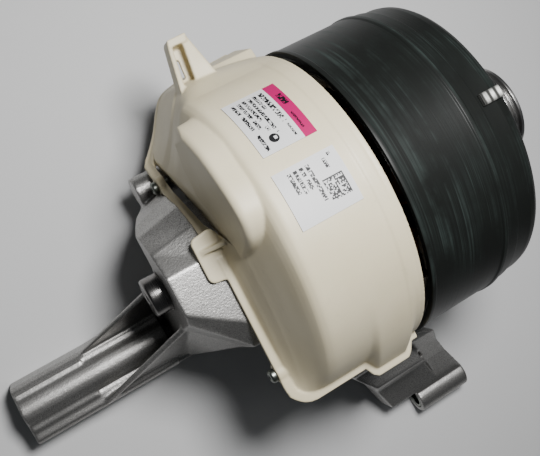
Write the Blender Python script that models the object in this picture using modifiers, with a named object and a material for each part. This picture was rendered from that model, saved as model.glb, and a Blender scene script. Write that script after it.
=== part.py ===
"""Belt-drive brushless motor with an external rotor and built-in control electronics.

Row frame, in metres: the shaft is on the X axis and its drive end's flat face is the origin, +X points out of the
drive end, +Z is up, and the drum, the long arm and the short lug all stand on the plane Z = -DRUM_RADIUS.
"""
import math

import bmesh
import bpy
from mathutils import Vector

# ---------------------------------------------------------------- driving dimensions
MM = 0.001
SHAFT_REACH = 122 * MM        # from the drum's rear edge to the shaft's drive end face
DRUM_RADIUS = 90 * MM
GAP = 0.3 * MM                # clearance between neighbouring solids
FLOOR = -DRUM_RADIUS

WALL = 2.6 * MM               # moulded cover
ARCH_RADIUS = 89.2 * MM
RIM_HEIGHT = 31.8 * MM        # middle of the cover's rim above the shaft axis
SKIRT_HEIGHT = -48 * MM       # where the cover's +Y skirt ends
HOOD_TOP = 30 * MM            # top plane of the casting under the cover

CORE_BORE = 29.8 * MM
CORE_RADIUS = 75.6 * MM
CORE_LENGTH = 40 * MM
CORE_MIDDLE = 30 * MM         # from the drum's rear edge
TEETH = 12
YOKE_RADIUS = 45 * MM
TOOTH_HALF_WIDTH = 5 * MM
STATOR_SCREW_CIRCLE = 37.5 * MM
STATOR_SCREWS = 3

ARM_BORE_Y, ARM_BORE_Z = -33 * MM, -69 * MM
LUG_BORE_Y, LUG_BORE_Z = -165 * MM, -79.5 * MM
SLEEVE_BORE = 5.25 * MM       # M10 bolts
SLEEVE_RADIUS = 6.7 * MM

PULLEY_RIBS = 11              # PJ belt
RIB_PITCH = 2.34 * MM
RIB_START = 91 * MM

BOARD_Z = 36 * MM
BOARD_THICKNESS = 1.6 * MM

# (y, z) of the cover's screws and (distance from the drum's rear edge, y) of the board's, in millimetres
COVER_SCREWS = [(-64, 29), (51, -29)]
BOARD_SCREWS = [(-57, -62), (-24, -62), (-57, -6)]

# side housing of the casting in section, (y, z) in millimetres
INNER_HOOD = [(34, -88), (34, -26), (30, -10), (16, 6), (2, 30), (-32, 30), (-48, 20), (-64, -88)]

# cover in millimetres, by distance in front of the drum's rear edge: how much of the arch is left towards the tail,
# the +Y wall just above the ledge, the skirt just below it, and the skirt's foot
ARCH_SHARE = [(-81, 0.01), (-79, 0.12), (-75, 0.35), (-70, 0.64), (-65, 0.9), (-61.5, 0.98), (-58, 1), (-4.5, 1)]
WALL_EDGE = [(-81, 64), (-72, 74), (-66, 79.5), (-62.7, 83.5), (-55, 93), (-50, 96), (-28, 95), (-17.7, 93.7), (-7.5, 92),
             (-4.5, 90.5)]
SKIRT_EDGE = [(-81, 70), (-72, 78), (-66, 81.5), (-62.7, 85.2), (-55, 94.4), (-50, 97.2), (-28, 97.4), (-4.5, 97.4)]
SKIRT_FOOT = [(-81, 82), (-66, 84.5), (-62.7, 88), (-55, 97.7), (-50, 100), (-40, 102), (-4.5, 104)]
COVER_STATIONS = (-4.5, -9, -12, -15, -28, -33, -35.5, -38, -50, -55, -58, -61.5, -65, -70, -75, -79, -81)
SKIRT_SHARE = (0.86, 0.9, 0.93, 0.97, 1)    # where the wall's, ledge's and skirt's points meet the tail's edge
ARCH_STEPS = 13
ARCH_END = 70                 # degrees from the top where the arch meets the +Y wall
POD_OUTLINE = [(-2, 42), (2, 56), (7, 69), (13, 77), (22, 81.5), (33, 79.5), (44, 74), (57, 65), (68, 52), (74, 40),
               (72, 31), (64, 24), (54, 19), (37, 18), (20, 22), (8, 31)]


def ax(distance_mm):
    """X of a point this many millimetres in front of the drum's rear edge."""
    return distance_mm * MM - SHAFT_REACH


# ---------------------------------------------------------------- scene and materials
for old in list(bpy.data.objects):
    bpy.data.objects.remove(old)
parts = bpy.data.collections.new("belt_drive_motor")
cutters = bpy.data.collections.new("cutters")
bpy.context.scene.collection.children.link(parts)
bpy.context.scene.collection.children.link(cutters)


def material(name, colour, roughness, metallic=0.0):
    made = bpy.data.materials.new(name)
    made.use_nodes = True
    shader = made.node_tree.nodes["Principled BSDF"]
    shader.inputs["Base Color"].default_value = (*colour, 1)
    shader.inputs["Roughness"].default_value = roughness
    shader.inputs["Metallic"].default_value = metallic
    return made


CAST = material("cast_aluminium", (0.33, 0.32, 0.31), 0.45, 1.0)
STEEL = material("steel", (0.45, 0.45, 0.46), 0.30, 1.0)
DARK_STEEL = material("dark_steel", (0.12, 0.12, 0.12), 0.30, 1.0)
LAMINATION = material("lamination", (0.25, 0.25, 0.27), 0.50, 1.0)
BLACK = material("black_plastic", (0.02, 0.025, 0.025), 0.45)
CREAM = material("cream_plastic", (0.62, 0.57, 0.46), 0.50)
NYLON = material("nylon", (0.55, 0.53, 0.48), 0.50)
COPPER = material("copper_wire", (0.60, 0.22, 0.08), 0.35, 1.0)
FERRITE = material("ferrite", (0.05, 0.05, 0.055), 0.60)
BOARD = material("board", (0.03, 0.18, 0.07), 0.45)
CAPACITOR = material("capacitor_sleeve", (0.02, 0.03, 0.10), 0.35)
PAPER = material("label_paper", (0.80, 0.80, 0.78), 0.60)
RUBBER = material("wire_insulation", (0.03, 0.03, 0.03), 0.60)


# ---------------------------------------------------------------- modelling helpers
def place(obj, finish=None, collection=parts):
    for home in list(obj.users_collection):
        home.objects.unlink(obj)
    collection.objects.link(obj)
    if finish:
        obj.data.materials.append(finish)
    return obj


def as_tool(obj):
    """A piece that only joins or cuts another one."""
    place(obj, collection=cutters)
    obj.hide_render = True
    obj.display_type = "WIRE"
    return obj


def boolean(target, operation, *tools, solver="EXACT"):
    for tool in tools:
        cut = target.modifiers.new(operation.lower(), "BOOLEAN")
        cut.operation = operation
        cut.solver = solver
        cut.object = as_tool(tool)
    return target


def turned(name, profile, finish, segments=32, y=0.0, z=0.0):
    """Revolve (axial mm from the drum's rear edge, radius mm) points about an axis parallel to X."""
    points = [(radius * MM, ax(axial)) for axial, radius in profile]
    turn = sum(a[0] * b[1] - b[0] * a[1] for a, b in zip(points, points[1:] + points[:1]))
    if turn > 0:
        points.reverse()
    on_axis = [i for i, point in enumerate(points) if point[0] == 0]
    if on_axis:
        after = next(i for i in on_axis if points[(i + 1) % len(points)][0] > 0)
        points = points[after:] + points[:after]
    edges = [(i, i + 1) for i in range(len(points) - 1)]
    if not on_axis:
        edges.append((len(points) - 1, 0))
    mesh = bpy.data.meshes.new(name)
    mesh.from_pydata([(radius, 0, height) for radius, height in points], edges, [])
    obj = place(bpy.data.objects.new(name, mesh), finish)
    obj.location = (0, y, z)
    obj.rotation_euler = (0, math.pi / 2, 0)
    screw = obj.modifiers.new("turn", "SCREW")
    screw.axis = "Z"
    screw.angle = 2 * math.pi
    screw.steps = screw.render_steps = segments
    screw.use_merge_vertices = True
    screw.merge_threshold = 0.00001
    screw.use_smooth_shade = False
    return obj


def loft(name, rings, finish=None):
    """A closed solid through rings of points, each ring with the same number of points."""
    shape = bmesh.new()
    rows = [[shape.verts.new(point) for point in ring] for ring in rings]
    count = len(rows[0])
    for low, high in zip(rows, rows[1:]):
        for i in range(count):
            j = (i + 1) % count
            shape.faces.new((low[i], low[j], high[j], high[i]))
    shape.faces.new(rows[0])
    shape.faces.new(rows[-1])
    bmesh.ops.recalc_face_normals(shape, faces=shape.faces)
    mesh = bpy.data.meshes.new(name)
    shape.to_mesh(mesh)
    shape.free()
    return place(bpy.data.objects.new(name, mesh), finish)


def prism_x(name, outline, x_low, x_high, finish=None):
    """Extrude a (y mm, z mm) outline along X, between two distances from the drum's rear edge."""
    return loft(name, [[(ax(x), y * MM, z * MM) for y, z in outline] for x in (x_low, x_high)], finish)


def prism_y(name, outline, y_low, y_high, finish=None):
    """Extrude an (axial mm, z mm) outline along Y."""
    return loft(name, [[(ax(x), y * MM, z * MM) for x, z in outline] for y in (y_low, y_high)], finish)


def prism_z(name, outline, z_low, z_high, finish=None):
    """Extrude an (axial mm, y mm) outline along Z."""
    return loft(name, [[(ax(x), y * MM, z * MM) for x, y in outline] for z in (z_low, z_high)], finish)


def box(name, x_span, y_span, z_span, finish=None):
    bpy.ops.mesh.primitive_cube_add(size=1)
    obj = bpy.context.object
    obj.name = obj.data.name = name
    spans = [(ax(x_span[0]), ax(x_span[1])), [v * MM for v in y_span], [v * MM for v in z_span]]
    for vertex in obj.data.vertices:
        vertex.co = [low if side < 0 else high for (low, high), side in zip(spans, vertex.co)]
    return place(obj, finish)


def rod_x(name, radius, x_span, y, z, segments=24, finish=None):
    """A round bar parallel to X; everything in millimetres."""
    bpy.ops.mesh.primitive_cylinder_add(
        vertices=segments, radius=radius * MM, depth=(x_span[1] - x_span[0]) * MM,
        location=((ax(x_span[0]) + ax(x_span[1])) / 2, y * MM, z * MM), rotation=(0, math.pi / 2, 0))
    obj = bpy.context.object
    obj.name = obj.data.name = name
    return place(obj, finish)


def circle(radius, count, centre=(0, 0), start=0.0, sweep=360.0):
    """Points of an arc in millimetres; a full circle leaves out the repeated last point."""
    steps = count if sweep == 360.0 else count - 1
    angles = [math.radians(start + sweep * i / steps) for i in range(count)]
    return [(centre[0] + radius * math.sin(a), centre[1] + radius * math.cos(a)) for a in angles]


def rounded(corners, radius, steps=3):
    """Round every corner of a convex or concave outline with arcs of one radius."""
    result = []
    for i, corner in enumerate(corners):
        here = Vector(corner)
        before = (Vector(corners[i - 1]) - here).normalized()
        after = (Vector(corners[(i + 1) % len(corners)]) - here).normalized()
        half = before.angle(after) / 2
        reach = radius / math.tan(half)
        for k in range(steps + 1):
            t = k / steps
            start, end = here + before * reach, here + after * reach
            point = start * (1 - t) ** 2 + here * 2 * t * (1 - t) + end * t ** 2
            result.append(tuple(point))
    return result


# ---------------------------------------------------------------- rotor
def make_rotor():
    turned("rotor_shell", [
        (0, 86.5), (0, 90), (2.5, 90), (3, 89.3), (46.5, 89.3), (47.5, 90), (50, 90), (51, 88.4), (58, 88.4),
        (58.8, 87), (68, 87), (74, 84.5), (79, 75), (80, 67), (80, 44),
        (78, 40), (78, 18.3), (74, 18.3), (74, 74), (66, 82.4), (51, 82.4), (51, 86.5)], BLACK, 42)
    turned("rotor_back_iron", [(4, 83), (4, 86.2), (50.7, 86.2), (50.7, 83)], STEEL, 42)
    turned("magnet_ring", [(8, 76.6), (8, 82.7), (50, 82.7), (50, 76.6)], FERRITE, 42)
    turned("rotor_hub", [
        (60, 7.5), (60, 13), (67, 13), (69, 30), (73.7, 30), (73.7, 18), (84.5, 18), (84.5, 7.5)], STEEL, 24)
    turned("motor_shaft", [
        (-120.2, 0), (-120.2, 3.2), (-113.8, 3.2), (-113.8, 5.5), (-100, 5.5), (-97, 9), (45.7, 9), (45.7, 7.2),
        (114.8, 7.2), (114.8, 6.4), (116.4, 6.4), (116.4, 7.2), (121, 7.2), (122, 6.4), (122, 0)], STEEL, 20)
    grooves = []
    pitch, first, last = RIB_PITCH / MM, RIB_START / MM, (RIB_START + PULLEY_RIBS * RIB_PITCH) / MM
    for rib in range(PULLEY_RIBS):
        grooves += [(first + rib * pitch, 25), (first + (rib + 0.5) * pitch, 27)]
    turned("belt_pulley", [(85.5, 7.5), (85.5, 19), (88.5, 28), (90.3, 28)] + grooves
           + [(last, 25), (118.2, 28), (120, 28), (120, 23), (110, 21), (110, 12), (113.8, 12), (113.8, 7.5)],
           STEEL, 24)
    ring = turned("pulley_retaining_ring", [(115, 6.7), (115, 9.4), (116.2, 9.4), (116.2, 6.7)], DARK_STEEL, 24)
    boolean(ring, "DIFFERENCE", box("ring_gap", (114, 118), (-2.2, 2.2), (4, 12)))
    clip_outline = circle(89.7, 6, start=9.8, sweep=4.4) + circle(87.4, 6, start=14.2, sweep=-4.4)
    prism_x("balance_clip", clip_outline, 60, 72, STEEL)


# ---------------------------------------------------------------- bearings
def make_bearing(name, x_span, bore, outer, balls, ball_radius):
    """A deep-groove ball bearing: two rings with a groove, and a cage joined to its balls."""
    low, high = x_span
    middle = (low + high) / 2
    track = (bore + outer) / 2
    land = ball_radius * 0.62
    lip, bed, depth = ball_radius * 0.85, ball_radius * 0.45, ball_radius + 0.4
    turned(f"{name}_outer_ring", [
        (low, track + land), (low, outer), (high, outer), (high, track + land), (middle + lip, track + land),
        (middle + bed, track + depth), (middle - bed, track + depth), (middle - lip, track + land)], STEEL, 20)
    turned(f"{name}_inner_ring", [
        (low, bore), (low, track - land), (middle - lip, track - land), (middle - bed, track - depth),
        (middle + bed, track - depth), (middle + lip, track - land), (high, track - land), (high, bore)], STEEL, 20)
    cage = turned(f"{name}_balls", [
        (middle - 0.8, track - land + 0.5), (middle - 0.8, track + land - 0.5), (middle + 0.8, track + land - 0.5),
        (middle + 0.8, track - land + 0.5)], STEEL, balls * 2)
    for y, z in circle(track, balls, start=7):
        bpy.ops.mesh.primitive_uv_sphere_add(segments=6, ring_count=4, radius=ball_radius * MM,
                                             location=(ax(middle), y * MM, z * MM))
        boolean(cage, "UNION", bpy.context.object)


# ---------------------------------------------------------------- stator
def core_outline(tip_radius, tooth_half, shoe_half_angle):
    """Outer edge of a star with one tooth every 30 degrees, in (y mm, z mm)."""
    outline = []
    for tooth in range(TEETH):
        centre = 360 / TEETH * tooth
        yoke = YOKE_RADIUS / MM
        root = math.degrees(math.asin(tooth_half / yoke))
        neck_radius = tip_radius - 3.4
        neck = math.degrees(math.asin(tooth_half / neck_radius))
        for radius, angle in ((yoke, -root), (neck_radius, -neck), (tip_radius - 1.6, -shoe_half_angle),
                              (tip_radius, -shoe_half_angle), (tip_radius, 0), (tip_radius, shoe_half_angle),
                              (tip_radius - 1.6, shoe_half_angle), (neck_radius, neck), (yoke, root)):
            a = math.radians(centre + angle)
            outline.append((radius * math.sin(a), radius * math.cos(a)))
    return outline


def star_plate(name, outline, x_span, finish):
    plate = prism_x(name, outline, *x_span, finish)
    past = 2
    boolean(plate, "DIFFERENCE", rod_x(f"{name}_bore", CORE_BORE / MM, (x_span[0] - past, x_span[1] + past), 0, 0, 32))
    for y, z in circle(STATOR_SCREW_CIRCLE / MM, STATOR_SCREWS, start=15):
        boolean(plate, "DIFFERENCE", rod_x(f"{name}_hole", 2.4, (x_span[0] - past, x_span[1] + past), y, z, 12))


def make_stator():
    middle, half = CORE_MIDDLE / MM, CORE_LENGTH / MM / 2
    star_plate("stator_core", core_outline(CORE_RADIUS / MM, TOOTH_HALF_WIDTH / MM, 12.6), (middle - half, middle + half),
               LAMINATION)
    for name, side in (("stator_insulator_rear", -1), ("stator_insulator_front", 1)):
        faces = sorted((middle + side * (half + 0.3), middle + side * (half + 1.8)))
        star_plate(name, core_outline(CORE_RADIUS / MM - 0.6, TOOTH_HALF_WIDTH / MM + 0.5, 12), faces, NYLON)
    for tooth in range(TEETH):
        angle = 2 * math.pi / TEETH * tooth
        outward = Vector((0, math.sin(angle), math.cos(angle)))
        across = Vector((0, math.cos(angle), -math.sin(angle)))
        outer = rounded([(27.4, 11.4), (-27.4, 11.4), (-27.4, -11.4), (27.4, -11.4)], 4.5, 2)
        inner = rounded([(22.2, 5.9), (-22.2, 5.9), (-22.2, -5.9), (22.2, -5.9)], 1.2, 2)
        rings = [[Vector((ax(middle + a), 0, 0)) + across * (b * MM) + outward * (radius * MM) for a, b in outline]
                 for outline, radius in ((outer, 48), (outer, 70), (inner, 70), (inner, 48))]
        make_ring(f"stator_coil_{tooth + 1:02d}", rings, COPPER)
    for number, (y, z) in enumerate(circle(STATOR_SCREW_CIRCLE / MM, STATOR_SCREWS, start=15), 1):
        turned(f"stator_screw_{number}", [(-2, 0), (-2, 2.1), (52.2, 2.1), (52.2, 3.9), (55.2, 3.9), (55.2, 0)],
               DARK_STEEL, 12, y * MM, z * MM)


def make_ring(name, rings, finish):
    """A closed band through four rings of points, the last joined to the first."""
    shape = bmesh.new()
    rows = [[shape.verts.new(point) for point in ring] for ring in rings]
    count = len(rows[0])
    for low, high in zip(rows, rows[1:] + rows[:1]):
        for i in range(count):
            j = (i + 1) % count
            shape.faces.new((low[i], low[j], high[j], high[i]))
    bmesh.ops.recalc_face_normals(shape, faces=shape.faces)
    mesh = bpy.data.meshes.new(name)
    shape.to_mesh(mesh)
    shape.free()
    return place(bpy.data.objects.new(name, mesh), finish)


# ---------------------------------------------------------------- mounting frame
def hood_ring(x, tail_share, drop=0.0):
    """Section of the tail housing: wide near the drum (0), narrow at the tail (1); drop insets it."""
    wide = [(46, -88), (47, -30), (45, -12), (38, 6), (26, 20), (8, 30), (-32, 30), (-48, 20), (-51, 0), (-64, -88)]
    tail = [(38, -88), (38, -24), (36, -8), (32, 6), (22, 20), (8, 30), (-13, 30), (-19, 25), (-24, 0), (-58, -88)]
    ring = []
    for (wy, wz), (ty, tz) in zip(wide, tail):
        y, z = wy + (ty - wy) * tail_share, wz + (tz - wz) * tail_share
        ring.append((ax(x), (y - math.copysign(drop, y)) * MM, (z - (drop if z > -80 else -drop)) * MM))
    return ring


def hood_slope(name, inset):
    """Wedge that slopes the +Y half of the tail back towards the drum, below the shaft."""
    outline = [(-116, inset), (-112 + inset, 0), (-84 + inset, -92), (-116, -92)]
    return prism_y(name, outline, -6 - inset, 60)


def make_frame():
    frame = turned("mounting_frame", [
        (-14, 12), (-14, 82), (-8, 82), (-8, 42), (7.9, 42), (7.9, 29.5), (58, 29.5), (58, 17.8), (44.9, 17.8),
        (44.9, 12)], CAST, 40)
    wall = 4
    tail = loft("hood_tail", [hood_ring(-112, 1), hood_ring(-85, 0)])
    boolean(tail, "DIFFERENCE", hood_slope("tail_slope", 0))
    boolean(frame, "UNION", tail, prism_x("hood_body", INNER_HOOD, -86, -13))
    cavity = [(y * 0.9 if y > 0 else y + wall, z - wall if z > 0 else z - 6) for y, z in INNER_HOOD]
    boolean(frame, "DIFFERENCE", prism_x("hood_cavity", cavity, -84, -18))
    hollow = loft("tail_cavity", [hood_ring(-107, 0.85, wall), hood_ring(-83, 0.05, wall)])
    boolean(hollow, "DIFFERENCE", hood_slope("hollow_slope", wall))
    boolean(frame, "DIFFERENCE", hollow)
    boolean(frame, "UNION", rod_x("tail_boss", 15, (-111.5, -102), 0, 0, 24))
    boolean(frame, "DIFFERENCE", rod_x("cap_bore", 11.5, (-114, -101), 0, 0, 24))
    boolean(frame, "DIFFERENCE", rod_x("shaft_way", 12.6, (-19.5, -12.5), 0, 0, 24))
    tray = rounded([(-76, -81), (-12, -81), (-12, -40), (-76, -40)], 8, 3)
    boolean(frame, "UNION", prism_z("tray", tray, 26.2, 29.8))
    ledge = [(29, -10), (40, -22), (56, -30), (64, -44), (70, -44), (70, -48.5), (29, -48.5)]
    boolean(frame, "UNION", prism_x("side_ledge", ledge, -68, -12))
    for y, z in circle(58, 6, start=30):
        boolean(frame, "DIFFERENCE", rod_x("flange_window", 11, (-20, -5), y, z, 12))
    for y, z in circle(STATOR_SCREW_CIRCLE / MM, STATOR_SCREWS, start=15):
        boolean(frame, "DIFFERENCE", rod_x("stator_thread", 2.4, (-6, 10), y, z, 8))
    for y in (-40, 40):
        foot = [(y - 9, -90), (y + 9, -90), (y + 9, -65), (y - 9, -65)]
        boolean(frame, "UNION", prism_x("foot", foot, -13.4, -6.6))
    boolean(frame, "UNION", rod_x("corner_boss", 9.2, (-94, -60), 53.5, -52, 20))
    make_arm(frame)
    make_lug(frame)
    for y, z in COVER_SCREWS:
        boolean(frame, "UNION", rod_x("screw_boss", 3.5, (-76.5, -60), y, z, 12), solver="MANIFOLD")
        boolean(frame, "DIFFERENCE", rod_x("screw_thread", 2.2, (-80, -66), y, z, 12), solver="MANIFOLD")


def make_arm(frame):
    """Long arm: a bolt tube in a channel, joined to the tail housing by two tapered walls."""
    section = [(-17, -90), (-17, -70), (-18.5, -66), (-21, -64), (-26, -64), (-26, -62)]
    section += circle(10.8, 7, (ARM_BORE_Y / MM, ARM_BORE_Z / MM), start=58, sweep=-116)
    section += [(-44, -66), (-44, -63.5), (-52, -63.5), (-54.5, -66), (-58, -90)]
    boolean(frame, "UNION", prism_x("arm", section, -213, -116))
    floor = [(-17, -90), (-17, -72), (-55.4, -72), (-58, -90)]
    boolean(frame, "UNION", prism_x("arm_floor", floor, -117, -108))
    for name, y_span, top in (("step_left", (-25.6, -21.4), -62.9), ("step_right", (-46, -40), -62.4)):
        boolean(frame, "UNION", box(name, (-213, -169), y_span, (-80, top)))
    outer = loft("outer_wall", [
        [(ax(x), y * MM, z * MM) for y, z in ring] for x, ring in (
            (-169, [(-58.4, -89.7), (-54.9, -65.5), (-51.4, -65.5), (-54, -89.7)]),
            (-108.5, [(-58.4, -89.7), (-24.6, 0.4), (-20.5, 0.4), (-54, -89.7)]))])
    inner = loft("inner_wall", [
        [(ax(x), y * MM, z * MM) for y, z in ring] for x, ring in (
            (-167, [(-19.8, -89.6), (-17.2, -89.6), (-17.2, -70), (-17.8, -66), (-18.4, -65.6), (-19.8, -66)]),
            (-109, [(-17.2, -89.6), (-13.6, -89.6), (-13.6, -66), (5, -26), (1.6, -24), (-17.2, -65)]),
            (-95, [(-17.2, -89.6), (-13.6, -89.6), (-13.6, -66), (5, -26), (1.6, -24), (-17.2, -65)]))])
    boolean(frame, "UNION", outer, inner, solver="MANIFOLD")
    boolean(frame, "DIFFERENCE", box("arm_cavity", (-209, -172), (-52.5, -46.8), (-92, -69)),
            rod_x("arm_bore", 7, (-220, -104), ARM_BORE_Y / MM, ARM_BORE_Z / MM, 20), solver="MANIFOLD")


def make_lug(frame):
    """Short lug: a bolt tube beside the drum, held by a bevelled bar and a curved wedge under the cover's rim."""
    y, z = LUG_BORE_Y / MM, LUG_BORE_Z / MM
    bar = loft("lug_bar", [
        [(ax(x), across * MM, h * MM) for x, h in ((x_low, top), (x_high, top), (x_high, base), (x_low, base))]
        for across, x_low, x_high, top, base in (
            (-74, -44, -10, 24, -6), (-98, -40, 2, 6, -26), (-111, -30, 14, -29, -42), (-125, -19, 18, -30, -54),
            (-138, -11, 33, -59, -77), (-158, -3, 57, -69, -89))])
    wedge = loft("lug_wedge", [
        [(ax(x), across * MM, h * MM) for x, h in ((x_low, top), (x_high, top), (x_high, base), (x_low, base))]
        for across, x_low, x_high, top, base in (
            (-90, -16, -5, 2, -20), (-103, 8, 24, -7, -28), (-118, 17, 33, -31, -48), (-134, 27, 43, -50, -68),
            (-156, 36, 56, -68, -84))])
    boolean(frame, "UNION", bar, wedge, rod_x("lug_tube", 10.5, (18, 58), y, z, 24), solver="MANIFOLD")
    boolean(frame, "DIFFERENCE", rod_x("lug_bore", 7, (5, 70), y, z, 20), solver="MANIFOLD")


def make_sleeves():
    for name, x_span, y, z in (("long_arm_sleeve", (-212.6, -118.4), ARM_BORE_Y, ARM_BORE_Z),
                               ("short_lug_sleeve", (18.4, 57.6), LUG_BORE_Y, LUG_BORE_Z)):
        low, high = x_span
        bore, outer = SLEEVE_BORE / MM, SLEEVE_RADIUS / MM
        turned(name, [(low, bore), (low, outer), (high, outer), (high, bore)], STEEL, 20, y, z)


# ---------------------------------------------------------------- electronics cover
def smooth(low, high, value):
    t = min(max((value - low) / (high - low), 0), 1)
    return t * t * (3 - 2 * t)


def rim_y(x):
    """The cover's -Y rim in plan: straight, with a bulge near the drum and a round corner at the tail."""
    bulge = 7.5 * smooth(-38, -33, x) * (1 - smooth(-15, -9, x))
    corner = 11 - math.sqrt(max(121 - max(-70 - x, 0) ** 2, 0))
    return -83.5 - bulge + corner


def between(table, x):
    """Value at x on the straight lines through a table of (x, value) pairs."""
    for (low, start), (high, end) in zip(table, table[1:]):
        if x <= high:
            return start + (end - start) * max(x - low, 0) / (high - low)
    return table[-1][1]


def saddle_height(y):
    """Height of the rim across the tail: level, then falling down the +Y side of the tail housing."""
    rim, foot = RIM_HEIGHT / MM, SKIRT_HEIGHT / MM
    if y < 5:
        return rim
    return rim + (foot - rim) * min((y - 5) / 61, 1)


def cover_section(x):
    """One line of the cover's skin, from the -Y rim over the arch and the +Y ledge to the foot of the skirt."""
    share = between(ARCH_SHARE, x)
    radius, rim, foot = ARCH_RADIUS / MM, RIM_HEIGHT / MM, SKIRT_HEIGHT / MM
    first = -math.degrees(math.acos(rim / radius))
    full = circle(radius, ARCH_STEPS + 1, start=first, sweep=ARCH_END - first)
    wall, skirt, end = between(WALL_EDGE, x), between(SKIRT_EDGE, x), between(SKIRT_FOOT, x)
    full += [(full[-1][0] + (wall - full[-1][0]) * 0.65, 16), (wall, 1.5), (skirt, -1), (end * 0.75 + skirt * 0.25, -27),
             (end, foot)]
    line = []
    start_y = full[0][0] * share + -72 * (1 - share)
    for i, (y, z) in enumerate(full):
        flat_y = -72 + 138 * (0.8 * i / ARCH_STEPS if i <= ARCH_STEPS else SKIRT_SHARE[i - ARCH_STEPS - 1])
        near_rim = max(1 - i / 4, 0) ** 1.5
        shift = (rim_y(x) - start_y) * near_rim
        line.append((ax(x), (flat_y + (y - flat_y) * share + shift) * MM,
                     (saddle_height(flat_y) * (1 - share) + z * share) * MM))
    return line


def foot_y(x):
    """Foot of the skirt, drawn in towards the tail with the arch."""
    share = between(ARCH_SHARE, x)
    return 66 * (1 - share) + between(SKIRT_FOOT, x) * share


def make_cover_skin():
    """The cover's main skin as an open grid, thickened inwards."""
    shape = bmesh.new()
    rows = [[shape.verts.new(point) for point in cover_section(x)] for x in COVER_STATIONS]
    for low, high in zip(rows, rows[1:]):
        for i in range(len(low) - 1):
            shape.faces.new((low[i], high[i], high[i + 1], low[i + 1]))
    bmesh.ops.recalc_face_normals(shape, faces=shape.faces)
    if sum(face.normal.z for face in shape.faces) < 0:
        bmesh.ops.reverse_faces(shape, faces=shape.faces)
    mesh = bpy.data.meshes.new("electronics_cover")
    shape.to_mesh(mesh)
    shape.free()
    cover = place(bpy.data.objects.new("electronics_cover", mesh), CREAM)
    thick = cover.modifiers.new("wall", "SOLIDIFY")
    thick.thickness = WALL
    thick.offset = -1
    return cover


def rim_path():
    """Middle of the rim's lip, from the drum along -Y, round the tail and back along the +Y skirt."""
    rim, foot = RIM_HEIGHT / MM + 0.45, SKIRT_HEIGHT / MM + 0.4
    path = [(x, rim_y(x), rim) for x in (-4.1, -9, -11, -13, -15, -24, -33, -34.6, -36.3, -38, -54, -70, -75, -78.5)]
    path += [(-80.6, -77, rim), (-81.2, -72, rim), (-81.2, 5, rim)]
    path += [(-81.2, y, saddle_height(y)) for y in (25, 45, 64)]
    path += [(x, foot_y(x) - 0.6, foot) for x in (-79, -72, -65, -60, -55, -50, -40, -22, -4.1)]
    return [Vector((ax(x), y * MM, z * MM)) for x, y, z in path]


def make_lip():
    """A flat lip along the rim, standing out of the skin by 3 mm."""
    path = rim_path()
    rings = []
    for i, point in enumerate(path):
        along = (path[min(i + 1, len(path) - 1)] - path[max(i - 1, 0)]).normalized()
        out = along.cross(Vector((0, 0, 1))).normalized() * -1
        up = out.cross(along).normalized()
        if up.z < 0:
            up.negate()
        half = 1.5 * MM
        rings.append([point - out * 2 * MM - up * half, point + out * 3 * MM - up * half,
                      point + out * 3 * MM + up * half, point - out * 2 * MM + up * half])
    return loft("lip", rings)


def pod_ring(x, inset=0.0, spread=1.0):
    centre = Vector((37, 50))
    ring = []
    for point in POD_OUTLINE:
        away = Vector(point) - centre
        y, z = centre + away * ((away.length - inset) / away.length * spread)
        ring.append((ax(x), y * MM, z * MM))
    return ring


def make_cover():
    cover = make_cover_skin()
    boolean(cover, "UNION", make_lip(), solver="MANIFOLD")
    boolean(cover, "UNION", loft("pod", [pod_ring(-76, 1.6), pod_ring(-75), pod_ring(-63, 0, 1.02)]))
    boolean(cover, "DIFFERENCE", loft("pod_hollow", [pod_ring(-73.2, 2.8), pod_ring(-60, 2.8, 1.03)]))
    slot = [(-76.4, 9), (-76.4, 66), (-72.5, 75), (-75.4, 75), (-78.4, 64), (-79.7, 45), (-79.3, 23)]
    boolean(cover, "DIFFERENCE", prism_z("crescent_slot", slot, -41, 57), solver="MANIFOLD")
    tab = rounded([(-79, -7), (-93, -5), (-93, 20), (-79, 22)], 4, 3)
    boolean(cover, "UNION", prism_z("tab", tab, 30.3, 33.3))
    rib = [(-92.2, 32.7), (-78.6, 32.7), (-78.6, 41)]
    boolean(cover, "UNION", prism_y("tab_rib", rib, 10.5, 13))
    make_ear(cover)
    for y, z in COVER_SCREWS:
        boolean(cover, "UNION", rod_x("screw_pad", 5.6, (-84, -77.6), y, z, 16), solver="MANIFOLD")
        boolean(cover, "DIFFERENCE", rod_x("screw_hole", 2.3, (-88, -60), y, z, 12), solver="MANIFOLD")


def make_ear(cover):
    """Tapered ear beyond the +Y skirt: a plate with a slotted hole between two side walls."""
    plate = rounded([(-56.2, 90), (-50.5, 118), (-39.5, 119), (-32, 90)], 3, 2)
    boolean(cover, "UNION", prism_z("ear_plate", plate, 0, 3))
    left = [(-56.2, 90), (-51, 117), (-48.6, 117), (-52.9, 90)]
    right = [(-46, 90), (-42.6, 117), (-39.4, 118), (-32, 90)]
    end = [(-51.2, 114.2), (-50.2, 118.3), (-39.2, 118.7), (-40.3, 114.1)]
    boolean(cover, "UNION", prism_z("ear_left", left, 1.7, 12.3), prism_z("ear_right", right, 9, 11.9),
            prism_z("ear_end", end, 1.4, 12.7))
    hole = rounded([(-51.5, 97), (-49.8, 108), (-46.6, 108), (-47.3, 97)], 1.5, 2)
    boolean(cover, "DIFFERENCE", prism_z("ear_hole", hole, -5, 8))


def make_screws():
    for number, (y, z) in enumerate(COVER_SCREWS, 1):
        turned(f"cover_screw_{number}", [
            (-67, 0), (-67, 1.9), (-84.3, 1.9), (-84.3, 3.8), (-86.6, 3.8), (-87.5, 2.9), (-87.5, 0)],
            DARK_STEEL, 16, y * MM, z * MM)


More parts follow.
